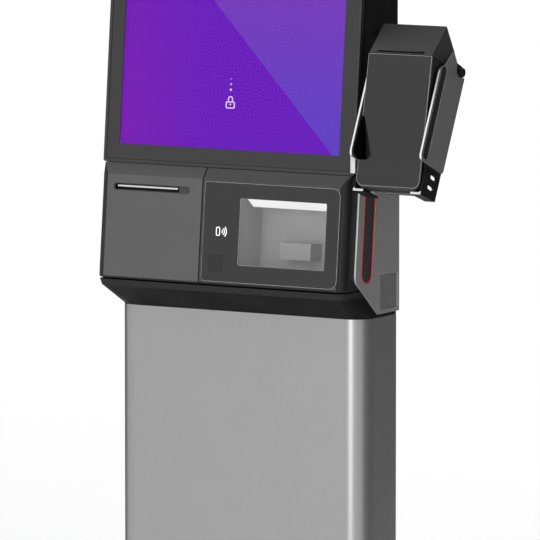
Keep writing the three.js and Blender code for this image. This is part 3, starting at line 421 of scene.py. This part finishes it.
# The finish of each material slot, then the nodes that differ from the rest of their slot.
LOOKS = {
    "mat_rubber": rubber("mat_rubber_finish", 0.03),
    "platen_rubber": rubber("platen_rubber_finish", 0.02),
    "dark_steel": powder("dark_steel_finish", 0.05),
    "supply_case": metal("supply_case_finish", 0.55, 0.4),
    "silver_paint": painted("silver_paint_finish", 0.28, 0.75, 0.34),
    # The side panels' front edges get a painted highlight.
    "grey_paint": painted("grey_paint_finish", 0.4, 0.7, 0.38, painted_front_highlight=0.75),
    "black_plastic": moulded("black_plastic_finish", 0.010, 0.42),
    # The cradle's flange fronts get a painted highlight.
    "black_steel": powder("black_steel_finish", 0.004, 0.5, shine=0.1, painted_highlight_below=FLANGE_TOP),
    "graphite_plastic": moulded("graphite_plastic_finish", 0.022, 0.42),
    # The printer door's seams get painted shade.
    "door_plastic": moulded("door_plastic_finish", 0.05, 0.46, bevel=0.029, painted_rim_shade=True),
    "dark_panel": gloss_panel("dark_panel_finish", 0.008),
    "display_glass": cover_glass("display_glass_finish", ACTIVE_HALF, ACTIVE_LOW, ACTIVE_HIGH),
    "clear_window": clear_window("clear_window_finish"),
    "screen": wallpaper("screen_finish"),
    "bright_steel": metal("bright_steel_finish", 0.6, 0.3),
    "arm_casting": metal("arm_casting_finish", 0.5, 0.42, direction=(1.0, 1.0, 1.0)),
    "white_plastic": moulded("white_plastic_finish", 0.35, 0.55),
    "light_bar": glow("light_bar_finish", (1.0, 1.0, 1.0, 1.0), 1.05),
    "paper": wound_paper("paper_finish"),
    "circuit_board": circuit("circuit_board_finish"),
    "red_trim": lacquer("red_rim_finish", rgb(205, 40, 52)),
}
PORT_LOOK = painted("port_cover_finish", 0.2, 0.5, 0.45)
# The cheeks: the side panels' grey paint made darker as painted shade, with the same painted front highlight.
SHADED_CHEEK_LOOK = painted("cheek_shaded_finish", 0.27, 0.7, 0.38, painted_front_highlight=0.75)
INLAY_LOOK = gloss_panel("cheek_inlay_finish", 0.008, ground_and_highlight=0.0003)
LOOK_OF_NODE = {
    "cheek_inlay_right": INLAY_LOOK,
    "cheek_inlay_left": INLAY_LOOK,
    "display_housing": moulded("display_housing_finish", 0.003, 0.5, shine=0.06),
    # The bezel's rounded sides get painted shade.
    "display_bezel": moulded("display_bezel_finish", 0.018, 0.42, shine=0.36, painted_rim_shade=True),
    "skirt": moulded("skirt_finish", 0.006, 0.5, shine=0.06, bevel=0.02, bevel_start=SKIRT_LIP),
    "retaining_jaw": moulded("jaw_finish", 0.001, 0.8, shine=0.0),
    "lower_housing": moulded("lower_housing_finish", 0.006, 0.5, shine=0.25),
    "scan_engine": moulded("scan_engine_finish", 0.3, 0.55),
    # The scanner frame's seams and rounded sides get painted shade.
    "scanner_frame": moulded("scanner_frame_finish", 0.024, 0.42, bevel=0.023, painted_rim_shade=True),
    "terminal_printer_cover": hood_finish("terminal_cover_finish", 0.021),
    "cheek_right": SHADED_CHEEK_LOOK,
    "cheek_left": SHADED_CHEEK_LOOK,
    "port_cover_right": PORT_LOOK,
    "port_cover_left": PORT_LOOK,
}
GLOWING_INK = glowing_ink("white_ink_glow_finish", rgb(235, 235, 235))
PIXEL = glow("pixel_finish", rgb(255, 214, 255), 0.85)
DIMMED = glow("dimmed_pixel_finish", rgb(236, 170, 250), 0.9)
FADED = glow("faded_pixel_finish", rgb(150, 72, 212), 1.0)
# Painted shade: near-black for the inside of the speaker holes.
HOLE_SHADE = moulded("hole_shade_finish", 0.001, 0.9, shine=0.02)


# ---------------------------------------------------------------- CAD solids, finished
# The radius of each node's softened edges, in millimetres.
EDGE = {
    "base_plate": 1.2, "base_mat": 0.4, "pedestal_shell": 0.5, "rear_door": 0.5, "lower_housing": 0.7,
    "printer_door": 0.35, "scanner_frame": 0.35, "scanner_panel": 0.3, "scan_window": 0.2, "skirt": 0.5,
    "side_panel_right": 0.5, "side_panel_left": 0.5, "display_bezel": 0.3, "display_glass": 0.25,
    "display_housing": 0.8, "cheek_left": 0.5, "cheek_right": 0.5, "terminal_glass": 0.55,
    "terminal_printer_cover": 0.7, "terminal_body": 0.6, "cradle_frame": 0.5, "mount_arm": 0.8,
    "retaining_jaw": 0.8, "lcd_panel": 0.1, "power_rocker": 0.5,
}
COMMON_EDGE = 0.35


def show(name, mesh, material):
    piece = bpy.data.objects.new(name, mesh)
    bpy.context.scene.collection.objects.link(piece)
    mesh.materials.clear()
    mesh.materials.append(material)
    mesh.polygons.foreach_set("use_smooth", [True] * len(mesh.polygons))
    return piece


def soften(piece, width):
    """Rounds the hard edges, then keeps the flat faces flat and the rounds smooth."""
    edge = piece.modifiers.new("edge", "BEVEL")
    edge.width = width
    edge.segments = 2
    edge.limit_method = "ANGLE"
    edge.angle_limit = math.radians(33)
    normals = piece.modifiers.new("normals", "WEIGHTED_NORMAL")
    normals.keep_sharp = True


def finish_node(node):
    """A rounded, smooth copy of one CAD solid, which it stands for."""
    mesh = frame["nodes"][node].data.copy()
    shape = bmesh.new()
    shape.from_mesh(mesh)
    bmesh.ops.remove_doubles(shape, verts=shape.verts, dist=0.00001)
    bmesh.ops.dissolve_limit(shape, angle_limit=math.radians(0.6), verts=shape.verts, edges=shape.edges)
    shape.to_mesh(mesh)
    shape.free()
    piece = show(f"{node}_finished", mesh, LOOK_OF_NODE.get(node, LOOKS[SLOT_OF[node]]))
    soften(piece, EDGE.get(node, COMMON_EDGE) * MM)
    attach(piece, BODY_OF[node])
    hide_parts(node)


for node in SLOT_OF:
    finish_node(node)


# ---------------------------------------------------------------- frames that lean
def leaning(y, z, angle):
    """Places a drawing made in millimetres, x right, y into the part and z up, on a leaning face."""
    turn = Matrix.Rotation(-angle, 4, "X")
    foot = Vector((0, y, z)) * MM + Vector((0, 0, PEDESTAL_TOP))
    return Matrix.Translation(foot) @ turn @ Matrix.Scale(MM, 4)


FACE = leaning(*MODULE_FOOT, MODULE_LEAN)
SCREEN = leaning(*DISPLAY_FOOT, DISPLAY_LEAN)


def solid(name, shape, place, material, body):
    """Turns a bmesh drawn in millimetres into a piece that rides on a body."""
    bmesh.ops.recalc_face_normals(shape, faces=shape.faces)
    mesh = bpy.data.meshes.new(name)
    shape.to_mesh(mesh)
    shape.free()
    mesh.transform(place)
    piece = show(name, mesh, material)
    piece.modifiers.new("normals", "WEIGHTED_NORMAL").keep_sharp = True
    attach(piece, body)


def stroke(shape, points, width, front, back, closed=False):
    """A line of even width through points (x, z), standing from front to back in y."""
    count = len(points)
    rows = []
    for i, (x, z) in enumerate(points):
        before = points[(i - 1) % count] if closed or i else points[0]
        after = points[(i + 1) % count] if closed or i < count - 1 else points[-1]
        along = Vector((after[0] - before[0], after[1] - before[1])).normalized()
        side = Vector((-along.y, along.x)) * width / 2
        corners = ((x + side.x, z + side.y), (x - side.x, z - side.y))
        rows.append([shape.verts.new((cx, y, cz)) for y in (front, back) for cx, cz in corners])
    for i in range(count if closed else count - 1):
        a, b = rows[i], rows[(i + 1) % count]
        for first, second in ((0, 1), (1, 3), (3, 2), (2, 0)):
            shape.faces.new((a[first], a[second], b[second], b[first]))
    if not closed:
        for row in (rows[0], rows[-1]):
            shape.faces.new((row[0], row[1], row[3], row[2]))


def arc(cx, cz, radius, start, end, steps=12):
    """Points (x, z) along an arc, from one angle to another in degrees."""
    turns = [math.radians(start + (end - start) * i / steps) for i in range(steps + 1)]
    return [(cx + radius * math.cos(t), cz + radius * math.sin(t)) for t in turns]


def round_box(x0, x1, z0, z1, radius):
    """Points (x, z) round a rectangle with rounded corners."""
    corners = ((x1 - radius, z1 - radius, 0), (x0 + radius, z1 - radius, 90),
               (x0 + radius, z0 + radius, 180), (x1 - radius, z0 + radius, 270))
    return [point for cx, cz, start in corners for point in arc(cx, cz, radius, start, start + 90, 4)]


def disc(shape, cx, cz, radius, front, back, sides=10):
    """A small round plate that stands from front to back in y."""
    rim = arc(cx, cz, radius, 0, 360 - 360 / sides, sides - 1)
    near = [shape.verts.new((x, front, z)) for x, z in rim]
    far = [shape.verts.new((x, back, z)) for x, z in rim]
    shape.faces.new(near)
    shape.faces.new(far)
    for i in range(sides):
        shape.faces.new((near[i], near[(i + 1) % sides], far[(i + 1) % sides], far[i]))


# ---------------------------------------------------------------- screen graphics
# The marks lie in the layer between the lit panel and the cover glass.
PIXEL_FRONT = 1.46
PIXEL_BACK = 1.74
LOCK_X = -1.1
LOCK_HEIGHT = 216.4
DOTS = ((235.5, 1.2, PIXEL), (241.2, 1.0, DIMMED), (246.7, 0.9, FADED))


def along_screen(z):
    """A height above the pedestal as a distance up the display's leaning face."""
    return (z - DISPLAY_FOOT[1]) / math.cos(DISPLAY_LEAN)


def lock_symbol():
    """A generic padlock: body outline, shackle and keyhole, lit by the display."""
    shape = bmesh.new()
    low = along_screen(LOCK_HEIGHT)
    body = round_box(LOCK_X - 4.9, LOCK_X + 4.9, low, low + 6.3, 1.2)
    stroke(shape, body, 1.2, PIXEL_FRONT, PIXEL_BACK, closed=True)
    bow = arc(LOCK_X, low + 9.4, 2.5, 0, 180)
    shackle = [(LOCK_X + 2.5, low + 6.7)] + bow + [(LOCK_X - 2.5, low + 6.7)]
    stroke(shape, shackle, 1.1, PIXEL_FRONT, PIXEL_BACK)
    disc(shape, LOCK_X, low + 3.7, 0.95, PIXEL_FRONT, PIXEL_BACK)
    solid("screen_padlock", shape, SCREEN, PIXEL, "kiosk")


def lock_dots():
    """Three dots that fade upwards from the padlock."""
    for i, (height, radius, look) in enumerate(DOTS):
        dot = bmesh.new()
        disc(dot, LOCK_X, along_screen(height), radius, PIXEL_FRONT, PIXEL_BACK)
        solid(f"screen_dot_{i + 1}", dot, SCREEN, look, "kiosk")


# ---------------------------------------------------------------- marks on the module's face
PRINT_FRONT = 0.14
PRINT_BACK = 0.32
SPEAKER_LEFT = -12.4
SPEAKER_LOW = 47.4
HOLE_PITCH_X = 2.6
HOLE_PITCH_Z = 2.3


def along_face(z):
    """A height above the pedestal as a distance up the module's leaning face."""
    return (z - MODULE_FOOT[1]) / math.cos(MODULE_LEAN)


def tap_symbol():
    """A plain card outline with three arcs beside it, printed on the panel."""
    shape = bmesh.new()
    middle = along_face(88.5)
    card = round_box(-5.4, -1.4, middle - 4.2, middle + 4.2, 0.9)
    stroke(shape, card, 0.9, PRINT_FRONT, PRINT_BACK, closed=True)
    for radius in (2.6, 5.0, 7.4):
        stroke(shape, arc(-0.6, middle, radius, -42, 42), 1.0, PRINT_FRONT, PRINT_BACK)
    solid("tap_symbol", shape, FACE, GLOWING_INK, "kiosk")


def receipt_guide():
    """The bright bar behind the receipt slot's lip that the paper is torn against."""
    shape = bmesh.new()
    height = along_face(129.9)
    stroke(shape, [(-129.5, height), (-56.0, height)], 1.9, 1.2, 2.4)
    solid("receipt_guide", shape, FACE, LOOKS["bright_steel"], "printer_door")


def speaker_holes():
    """A grid of small holes in front of the speaker, drawn as near-black discs of painted shade."""
    shape = bmesh.new()
    low = along_face(SPEAKER_LOW)
    for column in range(7):
        for row in range(8):
            disc(shape, SPEAKER_LEFT + column * HOLE_PITCH_X, low + row * HOLE_PITCH_Z, 0.62, 0.16, 0.6, 8)
    solid("speaker_holes", shape, FACE, HOLE_SHADE, "kiosk")


lock_symbol()
lock_dots()
tap_symbol()
receipt_guide()
speaker_holes()


# ---------------------------------------------------------------- studio
ROOM_LIGHT = 1.06
FLOOR_HALF = 100
FLOOR_TOP = -0.0003


def stage_box(name, low, high, material, seen):
    """A box of the studio, such as the floor or a dark cloth that only reflections see."""
    mesh = bpy.data.meshes.new(name)
    shape = bmesh.new()
    middle = [(a + b) / 2 for a, b in zip(low, high)]
    size = [b - a for a, b in zip(low, high)]
    place = Matrix.Translation(middle) @ Matrix.Diagonal((*size, 1))
    bmesh.ops.create_cube(shape, size=1.0, matrix=place)
    shape.to_mesh(mesh)
    shape.free()
    mesh.materials.append(material)
    thing = bpy.data.objects.new(name, mesh)
    bpy.context.scene.collection.objects.link(thing)
    thing.visible_camera = seen


def plain(name, colour, roughness):
    return Graph(name).set(Base_Color=colour, Roughness=roughness).material


def softbox(name, azimuth, distance, height, width, tall, radiance):
    """A tall soft light that stands round the kiosk and faces it; azimuth 0 is straight in front."""
    data = bpy.data.lights.new(name, "AREA")
    data.shape = "RECTANGLE"
    data.size = width
    data.size_y = tall
    data.energy = radiance * math.pi * width * tall
    lamp = bpy.data.objects.new(name, data)
    bpy.context.scene.collection.objects.link(lamp)
    turn = math.radians(azimuth)
    lamp.location = (distance * math.sin(turn), -distance * math.cos(turn), height)
    lamp.rotation_euler = Euler((math.radians(90), 0, turn))
    lamp.visible_camera = False


def studio():
    """An even white room and floor, dark cloths at the sides, and one strip light in front."""
    world = bpy.data.worlds.new("white_room")
    world.use_nodes = True
    background = world.node_tree.nodes["Background"]
    background.inputs["Color"].default_value = (1, 1, 1, 1)
    background.inputs["Strength"].default_value = ROOM_LIGHT
    bpy.context.scene.world = world
    bpy.context.scene.view_settings.view_transform = "Standard"
    floor_low = (-FLOOR_HALF, -FLOOR_HALF, -0.05)
    floor_high = (FLOOR_HALF, FLOOR_HALF, FLOOR_TOP)
    stage_box("floor", floor_low, floor_high, plain("floor_finish", grey(0.97), 0.9), True)
    dark = plain("flag_cloth", grey(0.02), 1.0)
    dim = plain("grey_flag_cloth", grey(0.12), 1.0)
    stage_box("flag_right", (1.1, -0.35, 0.2), (1.12, 4.2, 2.6), dim, False)
    stage_box("flag_left", (-1.92, 0.0, 0.2), (-1.9, 2.2, 2.4), dark, False)
    softbox("strip_front", 2, 3.2, 1.35, 0.9, 2.0, 8.0)


def camera():
    """A long lens, to the kiosk's right and a little above the scanner."""
    data = bpy.data.cameras.new("camera")
    data.lens = 514.7
    data.clip_end = 300
    made = bpy.data.objects.new("camera", data)
    bpy.context.scene.collection.objects.link(made)
    made.location = (4.14704, -6.93931, 1.82670)
    made.rotation_euler = (math.radians(90 - 6.464), 0, math.radians(30.764))
    bpy.context.scene.camera = made


studio()
camera()
